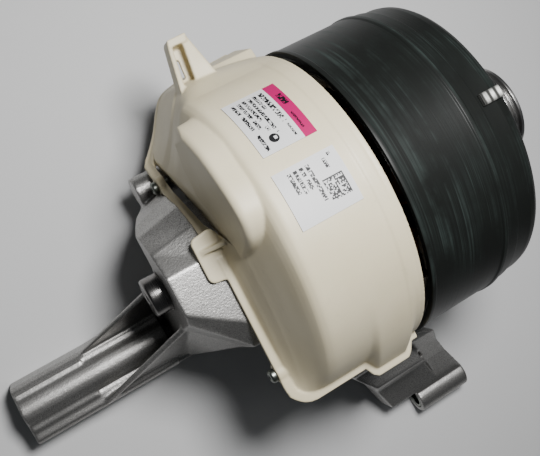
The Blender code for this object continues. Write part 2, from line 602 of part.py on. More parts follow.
# ---------------------------------------------------------------- electronics
def make_electronics():
    low, high = BOARD_Z / MM, (BOARD_Z + BOARD_THICKNESS) / MM
    outline = rounded([(-61, -66), (-20, -66), (-20, 50), (-61, 50)], 3, 2)
    board = prism_z("control_board", outline, low, high, BOARD)
    for number, (x, y) in enumerate(BOARD_SCREWS, 1):
        boolean(board, "DIFFERENCE", upright(f"board_hole_{number}", 1.8, (low - 2, high + 2), x, y, 12))
        post = upright(f"post_{number}", 3.6, (low - 8, low - 0.3), x, y, 16)
        boolean(bpy.data.objects["mounting_frame"], "UNION", post, solver="MANIFOLD")
        thread = upright(f"post_thread_{number}", 1.8, (low - 5, low + 1), x, y, 12)
        boolean(bpy.data.objects["mounting_frame"], "DIFFERENCE", thread, solver="MANIFOLD")
        screw = upright(f"board_screw_{number}", 1.5, (low - 4, high + 1), x, y, 12, DARK_STEEL)
        boolean(screw, "UNION", upright(f"screw_head_{number}", 2.8, (high + 0.3, high + 2.3), x, y, 12))
    sink = box("heat_sink", (-60, -30), (-56, -32), (high + 5.2, high + 8.5), CAST)
    for fin in range(5):
        y = -55.3 + fin * 5.2
        boolean(sink, "UNION", box(f"fin_{fin}", (-59.5, -30.5), (y, y + 1.8), (high + 8, high + 13 + fin * 3)))
    box("power_module", (-56, -34), (-54, -34), (high + 0.3, high + 4.9), BLACK)
    for number, (y, z) in enumerate(((20, 50), (42, 48)), 1):
        can = rod_x(f"bulk_capacitor_{number}", 9.5, (-72, -40), y, z, 20, CAPACITOR)
        bevel = can.modifiers.new("edge", "BEVEL")
        bevel.width = 0.8 * MM
        bevel.segments = 1
        bevel.limit_method = "ANGLE"
    choke = upright("filter_choke", 9, (high + 0.3, high + 9), -36, -14, 24, COPPER)
    boolean(choke, "DIFFERENCE", upright("choke_eye", 4, (high - 1, high + 12), -36, -14, 16))
    header = box("connector_header", (-32, -23), (4, 22), (high + 0.3, high + 11), NYLON)
    boolean(header, "DIFFERENCE", box("header_mouth", (-30.6, -24.4), (5.4, 20.6), (high + 3, high + 13)))


def upright(name, radius, z_span, x, y, segments, finish=None):
    """A round bar parallel to Z; everything in millimetres."""
    bpy.ops.mesh.primitive_cylinder_add(
        vertices=segments, radius=radius * MM, depth=(z_span[1] - z_span[0]) * MM,
        location=(ax(x), y * MM, (z_span[0] + z_span[1]) / 2 * MM))
    obj = bpy.context.object
    obj.name = obj.data.name = name
    return place(obj, finish)


def make_leads():
    """Bundle of phase leads from the coils, through the rear flange, into the connector."""
    route = [(1.5, 24, 46), (-2, 26, 48), (-10, 28, 50), (-18, 27, 52), (-24, 21, 53), (-27.5, 15, 52), (-27.5, 13, 46),
             (-27.5, 13, 41.5)]
    curve = bpy.data.curves.new("phase_leads", "CURVE")
    curve.dimensions = "3D"
    spline = curve.splines.new("POLY")
    points = even_route([Vector((ax(x), y * MM, z * MM)) for x, y, z in route], 18)
    spline.points.add(len(points) - 1)
    for target, point in zip(spline.points, points):
        target.co = (*point, 1)
    curve.bevel_depth = 1.8 * MM
    curve.bevel_resolution = 2
    curve.use_fill_caps = True
    place(bpy.data.objects.new("phase_leads", curve), RUBBER)


def even_route(points, count):
    """Points read from a smooth curve through the given ones."""
    padded = [points[0] * 2 - points[1]] + points + [points[-1] * 2 - points[-2]]
    result = []
    for k in range(count):
        place_on = k / (count - 1) * (len(points) - 1)
        i = min(int(place_on), len(points) - 2)
        t = place_on - i
        a, b, c, d = padded[i:i + 4]
        result.append(0.5 * (2 * b + (c - a) * t + (2 * a - 5 * b + 4 * c - d) * t ** 2
                             + (3 * b - a - 3 * c + d) * t ** 3))
    return result


def make_label(name, x_span, start, sweep):
    """A thin sheet lying on the cover's arch."""
    low, high = ARCH_RADIUS / MM + 0.3, ARCH_RADIUS / MM + 0.5
    outline = circle(high, 9, start=start, sweep=sweep) + circle(low, 9, start=start + sweep, sweep=-sweep)
    prism_x(name, outline, *x_span, PAPER)


def make_bearings():
    make_bearing("front_bearing", (46.1, 57.1), 7.5, 17.5, 8, 3.2)
    make_bearing("rear_bearing", (-120.3, -114.3), 3.5, 9.5, 7, 1.8)
    turned("rear_bearing_cap", [
        (-105, 9.8), (-105, 11.2), (-121, 11.2), (-122, 10.2), (-122, 2.5), (-120.8, 2.5), (-120.8, 9.8)], STEEL, 24)
    turned("preload_wave_washer", [(45.8, 13), (45.8, 17), (45.2, 17), (45.2, 13)], STEEL, 20)


make_rotor()
make_bearings()
make_stator()
make_frame()
make_sleeves()
make_cover()
make_screws()
make_electronics()
make_leads()
make_label("rating_label", (-52, -22), 28.2, 25.8)
make_label("code_label", (-54, -20), 3, 19)
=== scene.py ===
"""Looks of the belt-drive motor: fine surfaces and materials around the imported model.

Lengths are millimetres unless a line says otherwise. An x is a distance in front of the drum's rear edge,
and y and z are measured from the shaft's axis. Angles round the shaft are degrees from the top towards +Y.
"""
import math

import bmesh
import bpy
from mathutils import Matrix, Vector


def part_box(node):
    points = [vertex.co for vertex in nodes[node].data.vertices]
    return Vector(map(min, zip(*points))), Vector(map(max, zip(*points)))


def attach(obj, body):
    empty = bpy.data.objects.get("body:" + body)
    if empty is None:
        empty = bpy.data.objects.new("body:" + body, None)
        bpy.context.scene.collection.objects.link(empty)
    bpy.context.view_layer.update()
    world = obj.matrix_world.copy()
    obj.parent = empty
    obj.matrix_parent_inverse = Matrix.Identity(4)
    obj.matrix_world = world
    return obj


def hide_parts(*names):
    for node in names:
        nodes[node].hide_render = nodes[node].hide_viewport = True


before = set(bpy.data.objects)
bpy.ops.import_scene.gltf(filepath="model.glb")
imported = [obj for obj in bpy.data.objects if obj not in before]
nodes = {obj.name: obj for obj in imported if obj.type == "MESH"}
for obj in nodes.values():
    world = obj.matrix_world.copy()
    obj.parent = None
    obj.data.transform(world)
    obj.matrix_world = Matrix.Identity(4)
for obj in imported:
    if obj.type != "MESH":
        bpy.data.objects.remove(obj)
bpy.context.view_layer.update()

# ---------------------------------------------------------------- sizes
MM = 0.001
DRUM_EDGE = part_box("rotor_shell")[0].x                     # world X of the drum's rear edge, in metres
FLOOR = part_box("mounting_frame")[0].z                      # world Z that the object stands on, in metres
ARCH_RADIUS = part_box("electronics_cover")[1].z / MM - 0.1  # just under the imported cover's highest corner
RIM_HEIGHT = 31.8                                          # middle of the cover's rim
SKIRT_HEIGHT = -48.0                                       # where the cover's +Y skirt ends
COVER_WALL = 2.6

# camera: place in metres, and the directions of the picture's right and lower sides
CAMERA_PLACE = Vector((-0.2831, 0.0579, 0.4288))
CAMERA_RIGHT = Vector((0.845, -0.447, 0.292))
CAMERA_DOWN = Vector((-0.464, -0.886, -0.013))
CAMERA_ANGLE = math.radians(37.75)


def ax(x):
    """World X, in metres, of a distance in front of the drum's rear edge."""
    return x * MM + DRUM_EDGE


def steps(start, end, pitch):
    """Even steps from start to end, about one pitch apart."""
    count = max(round(abs(end - start) / pitch), 1)
    return [start + (end - start) * i / count for i in range(count + 1)]


def smooth(low, high, value):
    """0 below low, 1 above high, with an even curve between."""
    t = min(max((value - low) / (high - low), 0), 1)
    return t * t * (3 - 2 * t)


def spline_point(before, start, end, after, t):
    """A point of the Catmull-Rom curve between start and end."""
    return 0.5 * (2 * start + (end - before) * t + (2 * before - 5 * start + 4 * end - after) * t ** 2
                  + (3 * start - before - 3 * end + after) * t ** 3)


def closed_spline(points, per_side):
    """A smooth closed outline through the points."""
    points = [Vector(point) for point in points]
    count = len(points)
    outline = []
    for i in range(count):
        four = [points[(i + k) % count] for k in (-1, 0, 1, 2)]
        outline += [spline_point(*four, k / per_side) for k in range(per_side)]
    return outline


# ---------------------------------------------------------------- materials
class Surface:
    """A Principled material, with short calls for the texture nodes that feed it."""

    def __init__(self, name, colour, roughness, metallic=0.0, **sockets):
        self.material = bpy.data.materials.new(name)
        self.material.use_nodes = True
        self.tree = self.material.node_tree
        self.shader = self.tree.nodes["Principled BSDF"]
        self.shader.inputs["Base Color"].default_value = (*colour, 1)
        self.shader.inputs["Roughness"].default_value = roughness
        self.shader.inputs["Metallic"].default_value = metallic
        for socket, value in sockets.items():
            self.shader.inputs[socket.replace("_", " ")].default_value = value
        self.coordinates = self.node("ShaderNodeTexCoord").outputs["Object"]

    def node(self, kind, **settings):
        made = self.tree.nodes.new(kind)
        for key, value in settings.items():
            setattr(made, key, value)
        return made

    def feed(self, socket, source):
        """Link a socket to another node's output, or set its value."""
        if isinstance(source, bpy.types.NodeSocket):
            self.tree.links.new(source, socket)
        else:
            socket.default_value = source

    def math(self, operation, first, second=0.0, clamp=False):
        made = self.node("ShaderNodeMath", operation=operation, use_clamp=clamp)
        self.feed(made.inputs[0], first)
        self.feed(made.inputs[1], second)
        return made.outputs[0]

    def add(self, first, second):
        return self.math("ADD", first, second)

    def times(self, first, second):
        return self.math("MULTIPLY", first, second)

    def either(self, first, second):
        return self.math("MAXIMUM", first, second)

    def length(self, first, second):
        """Length of a flat vector."""
        return self.math("SQRT", self.add(self.times(first, first), self.times(second, second)))

    def inside(self, value, low, high):
        """1 between low and high, 0 outside."""
        above = self.math("GREATER_THAN", value, low)
        return self.times(above, self.math("LESS_THAN", value, high))

    def between(self, value, low, high):
        """0 at low, 1 at high, clamped."""
        made = self.node("ShaderNodeMapRange", clamp=True)
        self.feed(made.inputs["Value"], value)
        self.feed(made.inputs["From Min"], low)
        self.feed(made.inputs["From Max"], high)
        return made.outputs["Result"]

    def noise(self, scale, detail=2.0, vector=None, roughness=0.5):
        made = self.node("ShaderNodeTexNoise")
        self.feed(made.inputs["Vector"], vector or self.coordinates)
        made.inputs["Scale"].default_value = scale
        made.inputs["Detail"].default_value = detail
        made.inputs["Roughness"].default_value = roughness
        return made.outputs["Fac"]

    def cells(self, source, width, height, seed):
        """A random value for each cell of a flat grid."""
        grid = self.node("ShaderNodeMapping", vector_type="POINT")
        self.feed(grid.inputs["Vector"], source)
        grid.inputs["Scale"].default_value = (1 / width, 1 / height, 1)
        corner = self.node("ShaderNodeVectorMath", operation="FLOOR")
        self.feed(corner.inputs[0], grid.outputs["Vector"])
        dots = self.node("ShaderNodeTexWhiteNoise", noise_dimensions="4D")
        self.feed(dots.inputs["Vector"], corner.outputs[0])
        dots.inputs["W"].default_value = seed
        return dots.outputs["Value"]

    def mix(self, share, first, second):
        """One colour at share 0, the other at share 1."""
        made = self.node("ShaderNodeMix", data_type="RGBA")
        self.feed(made.inputs["Factor"], share)
        for socket, colour in zip(("A", "B"), (first, second)):
            target = [i for i in made.inputs if i.name == socket and i.type == "RGBA"][0]
            self.feed(target, (*colour, 1) if isinstance(colour, tuple) else colour)
        return [o for o in made.outputs if o.type == "RGBA"][0]

    def axes(self, source=None):
        made = self.node("ShaderNodeSeparateXYZ")
        self.feed(made.inputs[0], source or self.coordinates)
        return made.outputs

    def vector(self, **parts):
        made = self.node("ShaderNodeCombineXYZ")
        for axis, value in parts.items():
            self.feed(made.inputs[axis], value)
        return made.outputs[0]

    def around_shaft(self, along, about):
        """Coordinates that stretch a texture along the shaft's circumference."""
        x, y, z = self.axes()
        unit = self.node("ShaderNodeVectorMath", operation="NORMALIZE")
        self.feed(unit.inputs[0], self.vector(Y=y, Z=z))
        _, unit_y, unit_z = self.axes(unit.outputs[0])
        return self.vector(X=self.times(x, along), Y=self.times(unit_y, about), Z=self.times(unit_z, about))

    def colour(self, source):
        self.feed(self.shader.inputs["Base Color"], source)

    def rough(self, share, low, high):
        """Roughness low at share 0 and high at share 1."""
        made = self.node("ShaderNodeMapRange", clamp=True)
        self.feed(made.inputs["Value"], share)
        made.inputs["To Min"].default_value = low
        made.inputs["To Max"].default_value = high
        self.feed(self.shader.inputs["Roughness"], made.outputs["Result"])

    def bump(self, height, depth):
        made = self.node("ShaderNodeBump")
        made.inputs["Strength"].default_value = 1.0
        made.inputs["Distance"].default_value = depth * MM
        self.feed(made.inputs["Height"], height)
        self.feed(self.shader.inputs["Normal"], made.outputs["Normal"])


def cast_aluminium():
    """Bare die-cast alloy: bright and dark specks, a soft grain and darker cloudy patches at random."""
    made = Surface("cast_aluminium_fine", (0.38, 0.37, 0.36), 0.42, 0.92)
    speck = made.between(made.noise(1500, 3, roughness=0.7), 0.35, 0.68)
    cloud = made.between(made.noise(45, 4), 0.3, 0.7)
    grey = made.mix(speck, (0.20, 0.195, 0.19), (0.58, 0.57, 0.55))
    made.colour(made.mix(made.times(cloud, 0.5), grey, (0.24, 0.235, 0.225)))
    made.rough(speck, 0.50, 0.34)
    made.bump(made.add(made.noise(900, 3, roughness=0.65), made.noise(90, 3)), 0.16)
    return made.material


def cream_plastic():
    """Moulded housing: cream with a fine spark-eroded grain and faint handling marks."""
    made = Surface("cream_plastic_fine", (0.66, 0.60, 0.46), 0.46, Specular_IOR_Level=0.45)
    cloud = made.between(made.noise(22, 4), 0.35, 0.7)
    tint = made.mix(cloud, (0.685, 0.612, 0.435), (0.615, 0.542, 0.365))
    stain = made.between(made.noise(120, 5, roughness=0.7), 0.62, 0.8)
    made.colour(made.mix(made.times(stain, 0.35), tint, (0.42, 0.37, 0.27)))
    made.rough(cloud, 0.42, 0.54)
    made.bump(made.noise(2600, 2), 0.05)
    return made.material


def drum_black():
    """Near-black drum with a little greenish-grey dust dragged round it in rings."""
    made = Surface("drum_black_fine", (0.010, 0.012, 0.011), 0.45, Specular_IOR_Level=0.15)
    rings = made.between(made.noise(1, 5, made.around_shaft(520, 0.5), 0.6), 0.52, 0.74)
    patches = made.between(made.noise(1, 4, made.around_shaft(45, 2.2), 0.6), 0.42, 0.66)
    fine = made.between(made.noise(1, 3, made.around_shaft(1600, 1.2), 0.6), 0.4, 0.7)
    dust = made.times(made.add(rings, made.times(fine, 0.25)), patches)
    share = made.math("MINIMUM", dust, 1.0)
    made.colour(made.mix(share, (0.008, 0.009, 0.0082), (0.034, 0.047, 0.043)))
    made.rough(dust, 0.38, 0.60)
    made.bump(made.noise(1, 3, made.around_shaft(1500, 2.0), 0.6), 0.04)
    return made.material


def turned_metal(name, dark, light, roughness):
    """Lathe-turned metal: fine rings round the shaft's axis."""
    made = Surface(name, light, roughness, 1.0)
    rings = made.noise(1, 3, made.around_shaft(3500, 0.6), 0.6)
    cloud = made.between(made.noise(150, 3), 0.3, 0.7)
    made.colour(made.mix(made.times(made.add(rings, cloud), 0.5), dark, light))
    made.rough(rings, roughness * 0.8, roughness * 1.35)
    made.bump(rings, 0.02)
    return made.material


def plain_metal(name, colour, roughness):
    """Metal with a faint cloud and a fine grain."""
    made = Surface(name, colour, roughness, 1.0)
    cloud = made.between(made.noise(300, 3), 0.3, 0.7)
    made.colour(made.mix(cloud, colour, tuple(channel * 0.7 for channel in colour)))
    made.rough(cloud, roughness, roughness * 1.3)
    made.bump(made.noise(1800, 2), 0.02)
    return made.material


def plain_plastic(name, colour, roughness, grain=0.03):
    """Plastic, rubber or ceramic with a faint cloud and a fine grain."""
    made = Surface(name, colour, roughness)
    cloud = made.between(made.noise(120, 3), 0.3, 0.7)
    made.colour(made.mix(cloud, colour, tuple(channel * 0.8 for channel in colour)))
    made.rough(cloud, roughness * 0.9, roughness * 1.2)
    made.bump(made.noise(2200, 2), grain)
    return made.material


def lamination():
    """Edges of the sheet stack: fine lines square to the shaft."""
    sheet_pitch = 0.65 * MM
    made = Surface("lamination_fine", (0.2, 0.2, 0.21), 0.5, 0.9)
    x, _, _ = made.axes()
    sheet = made.math("FRACT", made.times(x, 1 / sheet_pitch))
    edge = made.between(sheet, 0.0, 0.25)
    made.colour(made.mix(edge, (0.05, 0.05, 0.055), (0.26, 0.26, 0.27)))
    made.bump(edge, 0.06)
    return made.material


def copper():
    """Enamelled winding wire, laid side by side, with painted shade in the grooves between turns and a
    painted highlight on each turn's crown.
    """
    wire_pitch = 0.8 * MM
    made = Surface("copper_fine", (0.42, 0.15, 0.05), 0.32, 0.9)
    _, y, z = made.axes()
    turn_height_and_shade = made.math("PINGPONG", made.times(made.length(y, z), 1 / wire_pitch), 0.5)
    # painted shade and highlight: the colour runs from dark in the groove between turns to bright on each
    # turn's crown
    made.colour(made.mix(made.times(turn_height_and_shade, 2.0), (0.10, 0.03, 0.012), (0.52, 0.20, 0.07)))
    made.bump(turn_height_and_shade, 0.25)
    return made.material


def board():
    """Solder-masked board with lighter copper areas under the mask."""
    made = Surface("board_fine", (0.02, 0.13, 0.05), 0.3, Coat_Weight=0.4)
    area = made.node("ShaderNodeTexVoronoi", distance="MANHATTAN")
    made.feed(area.inputs["Vector"], made.coordinates)
    area.inputs["Scale"].default_value = 240
    copper_area = made.between(area.outputs["Distance"], 0.35, 0.4)
    made.colour(made.mix(copper_area, (0.015, 0.10, 0.04), (0.03, 0.17, 0.065)))
    made.bump(copper_area, 0.03)
    return made.material


def row_of_marks(made, uv, row, low, height, first, last):
    """A row of small generic marks in words of random length."""
    u, v, _ = made.axes(uv)
    mask = made.times(made.inside(v, low, low + height), made.inside(u, first, last))
    letters = made.math("GREATER_THAN", made.cells(uv, 0.2 * height, height / 3, row), 0.30)
    words = made.math("GREATER_THAN", made.cells(uv, 1.9, 50, row + 20), 0.12)
    return made.times(mask, made.times(letters, words))


def square_of_dots(made, uv, low_u, low_v, side, count):
    """A square of random dots with a solid edge along two sides."""
    u, v, _ = made.axes(uv)
    dot = side / count
    square = made.times(made.inside(u, low_u, low_u + side), made.inside(v, low_v, low_v + side))
    dots = made.math("GREATER_THAN", made.cells(uv, dot, dot, 5), 0.48)
    edge = made.either(made.inside(u, low_u, low_u + dot), made.inside(v, low_v, low_v + dot))
    return made.times(square, made.either(dots, edge))


def round_seal(made, uv, centre_u, centre_v, radius):
    """A dark disc with a light bar in one half."""
    u, v, _ = made.axes(uv)
    across, down = made.math("SUBTRACT", u, centre_u), made.math("SUBTRACT", v, centre_v)
    width, height = 0.35 * radius, 0.6 * radius
    bar = made.times(made.inside(across, -width, width), made.inside(down, -height, 0))
    disc = made.math("LESS_THAN", made.length(across, down), radius)
    return made.math("SUBTRACT", disc, bar, clamp=True)


def label_print(name, rows, band=None, code=None, seal=None):
    """White film with generic marks; u runs along the print and v across it.

    rows are (low v, height, first u, last u), band is a coloured stretch of v, code is a square of dots as
    (low u, low v, side, dots along a side) and seal a round mark as (u, v, radius).
    """
    made = Surface(name, (0.66, 0.66, 0.66), 0.5, Specular_IOR_Level=0.35)
    uv = made.node("ShaderNodeUVMap", uv_map="print").outputs["UV"]
    marks = row_of_marks(made, uv, 0, *rows[0])
    for number, row in enumerate(rows[1:], 1):
        marks = made.either(marks, row_of_marks(made, uv, number, *row))
    if code:
        marks = made.either(marks, square_of_dots(made, uv, *code))
    if seal:
        marks = made.either(marks, round_seal(made, uv, *seal))
    paper = made.mix(made.noise(60, 3), (0.66, 0.66, 0.66), (0.58, 0.58, 0.58))
    if band:
        _, v, _ = made.axes(uv)
        paper = made.mix(made.inside(v, *band), paper, (0.38, 0.0, 0.095))
    made.colour(made.mix(marks, paper, (0.004, 0.004, 0.005)))
    made.rough(made.noise(80, 2), 0.46, 0.56)
    return made.material


# ---------------------------------------------------------------- mesh helpers
def new_object(name, mesh, surface=None):
    obj = bpy.data.objects.new(name, mesh)
    bpy.context.scene.collection.objects.link(obj)
    if surface:
        paint(obj, surface)
    return obj


def paint(obj, surface):
    """One material over the whole object."""
    obj.data.materials.clear()
    obj.data.materials.append(surface)
    for face in obj.data.polygons:
        face.material_index = 0


def shade(obj, angle=180):
    """Smooth shading, with edges sharper than the angle kept crisp."""
    obj.data.shade_smooth()
    if angle < 180:
        obj.data.set_sharp_from_angle(angle=math.radians(angle))


def mesh_of(name, shape):
    mesh = bpy.data.meshes.new(name)
    shape.to_mesh(mesh)
    shape.free()
    return mesh


def skin_between(shape, rows, closed=True):
    """Faces between each row of points and the next."""
    count = len(rows[0])
    for low, high in zip(rows, rows[1:]):
        for i in range(count if closed else count - 1):
            j = (i + 1) % count
            shape.faces.new((low[i], low[j], high[j], high[i]))


def loft(name, rings):
    """A closed solid through rings of points, each ring with the same number of points."""
    shape = bmesh.new()
    rows = [[shape.verts.new(point) for point in ring] for ring in rings]
    skin_between(shape, rows)
    shape.faces.new(rows[0])
    shape.faces.new(rows[-1])
    bmesh.ops.recalc_face_normals(shape, faces=shape.faces)
    return new_object(name, mesh_of(name, shape))


def prism(name, outline, span, axis):
    """Extrude an outline along one axis, between the two places of its span."""
    place = {"x": lambda a, b, h: (ax(h), a * MM, b * MM),
             "y": lambda a, b, h: (ax(a), h * MM, b * MM),
             "z": lambda a, b, h: (ax(a), b * MM, h * MM)}[axis]
    return loft(name, [[place(a, b, height) for a, b in outline] for height in span])


def about_shaft(x, radius, angle):
    """World place of a point at an angle around the shaft."""
    a = math.radians(angle)
    return (ax(x), radius * MM * math.sin(a), radius * MM * math.cos(a))


def circle(radius, count, centre=(0, 0), start=0.0, sweep=360.0):
    """Points of a circle, or of an arc with both its ends."""
    count_steps = count if sweep == 360.0 else count - 1
    angles = [math.radians(start + sweep * i / count_steps) for i in range(count)]
    return [(centre[0] + radius * math.sin(a), centre[1] + radius * math.cos(a)) for a in angles]


def rounded(corners, radius):
    """Round every corner of an outline with a curve of one reach."""
    count = 6
    result = []
    for i, corner in enumerate(corners):
        here = Vector(corner)
        before = (Vector(corners[i - 1]) - here).normalized()
        after = (Vector(corners[(i + 1) % len(corners)]) - here).normalized()
        reach = radius / math.tan(before.angle(after) / 2)
        start, end = here + before * reach, here + after * reach
        for k in range(count + 1):
            t = k / count
            result.append(tuple(start * (1 - t) ** 2 + here * 2 * t * (1 - t) + end * t ** 2))
    return result


def eased_profile(profile, soften):
    """A turned profile with each corner off the axis replaced by a small curve."""
    eased = []
    count = len(profile)
    for i in range(count):
        here, before, after = (Vector(profile[k % count]) for k in (i, i - 1, i + 1))
        sides = [side - here for side in (before, after)]
        reach = min(soften, *(side.length * 0.4 for side in sides))
        if here.y == 0 or reach < 0.01:
            eased.append(here)
            continue
        start, end = (here + side.normalized() * reach for side in sides)
        eased += [start, (start + here * 2 + end) / 4, end]
    return eased


def turned(name, profile, surface, segments=96, centre=(0, 0), soften=0.25):
    """Revolve (x, radius) points about a line along X through the centre."""
    y, z = (value * MM for value in centre)
    shape = bmesh.new()
    rows = []
    for point in eased_profile(profile, soften):
        if point.y <= 0:
            rows.append([shape.verts.new((ax(point.x), y, z))] * segments)
        else:
            ring = circle(point.y, segments)
            rows.append([shape.verts.new((ax(point.x), y + a * MM, z + b * MM)) for a, b in ring])
    for low, high in zip(rows, rows[1:] + rows[:1]):
        for i in range(segments):
            j = (i + 1) % segments
            corner = list(dict.fromkeys((low[i], low[j], high[j], high[i])))
            if len(corner) > 2:
                shape.faces.new(corner)
    bmesh.ops.recalc_face_normals(shape, faces=shape.faces)
    obj = new_object(name, mesh_of(name, shape), surface)
    shade(obj, 40)
    return obj


def settle(obj):
    """Apply every modifier of an object."""
    seen = bpy.context.evaluated_depsgraph_get()
    seen.update()
    mesh = bpy.data.meshes.new_from_object(obj.evaluated_get(seen))
    obj.modifiers.clear()
    obj.data = mesh


def join(target, *others):
    """Copy other objects' faces into one and drop the objects."""
    shape = bmesh.new()
    for piece in (target, *others):
        shape.from_mesh(piece.data)
    shape.to_mesh(target.data)
    shape.free()
    for piece in others:
        bpy.data.objects.remove(piece)


def cut(target, *tools, solver="EXACT"):
    """Take each tool away from the target and drop the tool."""
    for tool in tools:
        change = target.modifiers.new("cut", "BOOLEAN")
        change.operation = "DIFFERENCE"
        change.solver = solver
        change.object = tool
        settle(target)
        bpy.data.objects.remove(tool)


def remesh(obj, voxel):
    """Fuse overlapping solids into one skin."""
    fuse = obj.modifiers.new("fuse", "REMESH")
    fuse.mode = "VOXEL"
    fuse.voxel_size = voxel * MM
    settle(obj)


def ease(obj, rounds):
    """Soften an object's edges."""
    soft = obj.modifiers.new("soft", "SMOOTH")
    soft.factor = 0.5
    soft.iterations = rounds
    settle(obj)


def stand_in(piece, body, node):
    """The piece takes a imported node's place and rides on its body."""
    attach(piece, body)
    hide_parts(node)


# ---------------------------------------------------------------- cover
# (x, value) tables: how much of the arch is left towards the tail, the +Y wall's y just above the ledge, the
# skirt's just below it, and the y of the skirt's foot
SHOULDER = [(-54, 1), (-58, 1), (-61.5, 0.98), (-65, 0.9), (-70, 0.64), (-75, 0.35), (-79, 0.12), (-81, 0.01),
            (-83, 0.0)]
WALL_EDGE = [(-81, 64), (-72, 74), (-66, 79.5), (-62.7, 83.5), (-55, 93), (-50, 96), (-28, 95),
             (-17.7, 93.7), (-7.5, 92), (-4.5, 90.5)]
SKIRT_EDGE = [(-81, 70), (-72, 78), (-66, 81.5), (-62.7, 85.2), (-55, 94.4), (-50, 97.2), (-28, 97.4),
              (-4.5, 97.4)]
SKIRT_FOOT = [(-81, 82), (-66, 84.5), (-62.7, 88), (-55, 97.7), (-50, 100), (-40, 102), (-4.5, 104)]
COVER_FRONT, COVER_TAIL = -4.5, -81
BAND_END = -15.3                 # the raised band near the drum needs finer steps than the rest
ARCH_STEPS = 84
ARCH_END = 70                    # degrees from the top where the arch meets the +Y wall
TAIL_START, TAIL_END = -72, 66   # y of the two ends of the edge across the tail
SADDLE_START = 5                 # y where that edge begins to fall towards the skirt
RIM_Y = -83.5                    # the rim's straight stretch
RIM_CORNER = 11                  # radius of its corner at the tail
RIM_FADE = 3.25                  # the rim's bulge and corner die out over 1 / 3.25 of the arch
COVER_SCREWS = [(-64, 29), (51, -29)]
POD_FACE, POD_FILLET = -76, 4
POD_CENTRE = Vector((37, 50))
POD_OUTLINE = [(-2, 42), (2, 56), (7, 69), (13, 77), (22, 81.5), (33, 79.5), (44, 74), (57, 65), (68, 52),
               (74, 40), (72, 31), (64, 24), (54, 19), (37, 18), (20, 22), (8, 31)]


def shoulder_share(x):
    """1 on the arch, falling to 0 where the skin meets the rim across the tail."""
    if x >= SHOULDER[1][0]:
        return 1.0
    for i in range(1, len(SHOULDER) - 2):
        (x0, _), (x1, _) = SHOULDER[i], SHOULDER[i + 1]
        if x >= x1:
            values = [share for _, share in SHOULDER[i - 1:i + 3]]
            return min(spline_point(*values, (x - x0) / (x1 - x0)), 1.0)
    return SHOULDER[-2][1]


def eased(table, x):
    """Value at x on the straight lines through a table, with its corners rounded over 5 mm."""
    total = 0
    places = (x - 2.5, x - 1.25, x, x + 1.25, x + 2.5)
    for place in places:
        place = min(max(place, table[0][0]), table[-1][0])
        (low, start), (high, end) = next((a, b) for a, b in zip(table, table[1:]) if place <= b[0])
        total += start + (end - start) * (place - low) / (high - low)
    return total / len(places)


def rim_y(x):
    """The cover's -Y rim in plan: straight, with a bulge near the drum and a round corner at the tail."""
    bulge = 7.5 * smooth(-38, -33, x) * (1 - smooth(-15, -9, x))
    past = max(-70 - x, 0)
    corner = RIM_CORNER - math.sqrt(max(RIM_CORNER ** 2 - past ** 2, 0))
    return RIM_Y - bulge + corner


def foot_y(x):
    """Foot of the skirt, drawn in towards the tail with the arch."""
    share = shoulder_share(x)
    return TAIL_END * (1 - share) + eased(SKIRT_FOOT, x) * share


def saddle_height(y):
    """Height of the rim across the tail: level, then falling down the +Y side of the tail housing."""
    fall = max(y - SADDLE_START, 0) / (TAIL_END - SADDLE_START)
    return RIM_HEIGHT + (SKIRT_HEIGHT - RIM_HEIGHT) * min(fall, 1)


def raised_band(x):
    """How far the arch stands out near the drum, with a shallow groove round it."""
    groove = smooth(-8.2, -7.6, x) * (1 - smooth(-6.8, -6.2, x))
    return 0.55 * smooth(-14.6, -13.4, x) - 0.35 * groove


def straight(start, end, count):
    """Points on a straight line, after its start."""
    return [tuple(a + (b - a) * t for a, b in zip(start, end)) for t in steps(0, 1, 1 / count)[1:]]


def bent(*four, count=12):
    """Points on a Catmull-Rom curve, after the second of its four points and up to the third."""
    return [tuple(spline_point(*values, t) for values in zip(*four)) for t in steps(0, 1, 1 / count)[1:]]


def cover_section(x):
    """One line of the cover's skin, from the -Y rim over the arch and the +Y ledge to the foot of the skirt.

    Each point is first (y, z, share): its place on the full arch, and how far along the edge across the tail
    its other place is. It moves from the one to the other as the shoulder runs out.
    """
    first = -math.degrees(math.acos(RIM_HEIGHT / ARCH_RADIUS))
    arch = circle(ARCH_RADIUS + raised_band(x), ARCH_STEPS + 1, start=first, sweep=ARCH_END - first)
    full = [(y, z, 0.8 * i / ARCH_STEPS) for i, (y, z) in enumerate(arch)]
    wall, skirt, foot = eased(WALL_EDGE, x), eased(SKIRT_EDGE, x), eased(SKIRT_FOOT, x)
    before, corner = full[-8], full[-1]
    bend = (corner[0] + (wall - corner[0]) * 0.65, 16, 0.86)
    ledge, step = (wall, 1.5, 0.9), (skirt, -1, 0.93)
    middle, end = (foot * 0.75 + skirt * 0.25, -27, 0.97), (foot, SKIRT_HEIGHT, 1)
    full += bent(before, corner, bend, ledge) + bent(corner, bend, ledge, (wall + 1, -13, 0.94))
    full += straight(ledge, step, 5) + straight(step, middle, 20) + straight(middle, end, 16)
    share = shoulder_share(x)
    start_y = full[0][0] * share + TAIL_START * (1 - share)
    line = []
    for i, (y, z, tail_share) in enumerate(full):
        flat_y = TAIL_START + (TAIL_END - TAIL_START) * tail_share
        near_rim = max(1 - i / ARCH_STEPS * RIM_FADE, 0) ** 1.5
        shift = (rim_y(x) - start_y) * near_rim
        line.append((ax(x), (flat_y + (y - flat_y) * share + shift) * MM,
                     (saddle_height(flat_y) * (1 - share) + z * share) * MM))
    return line


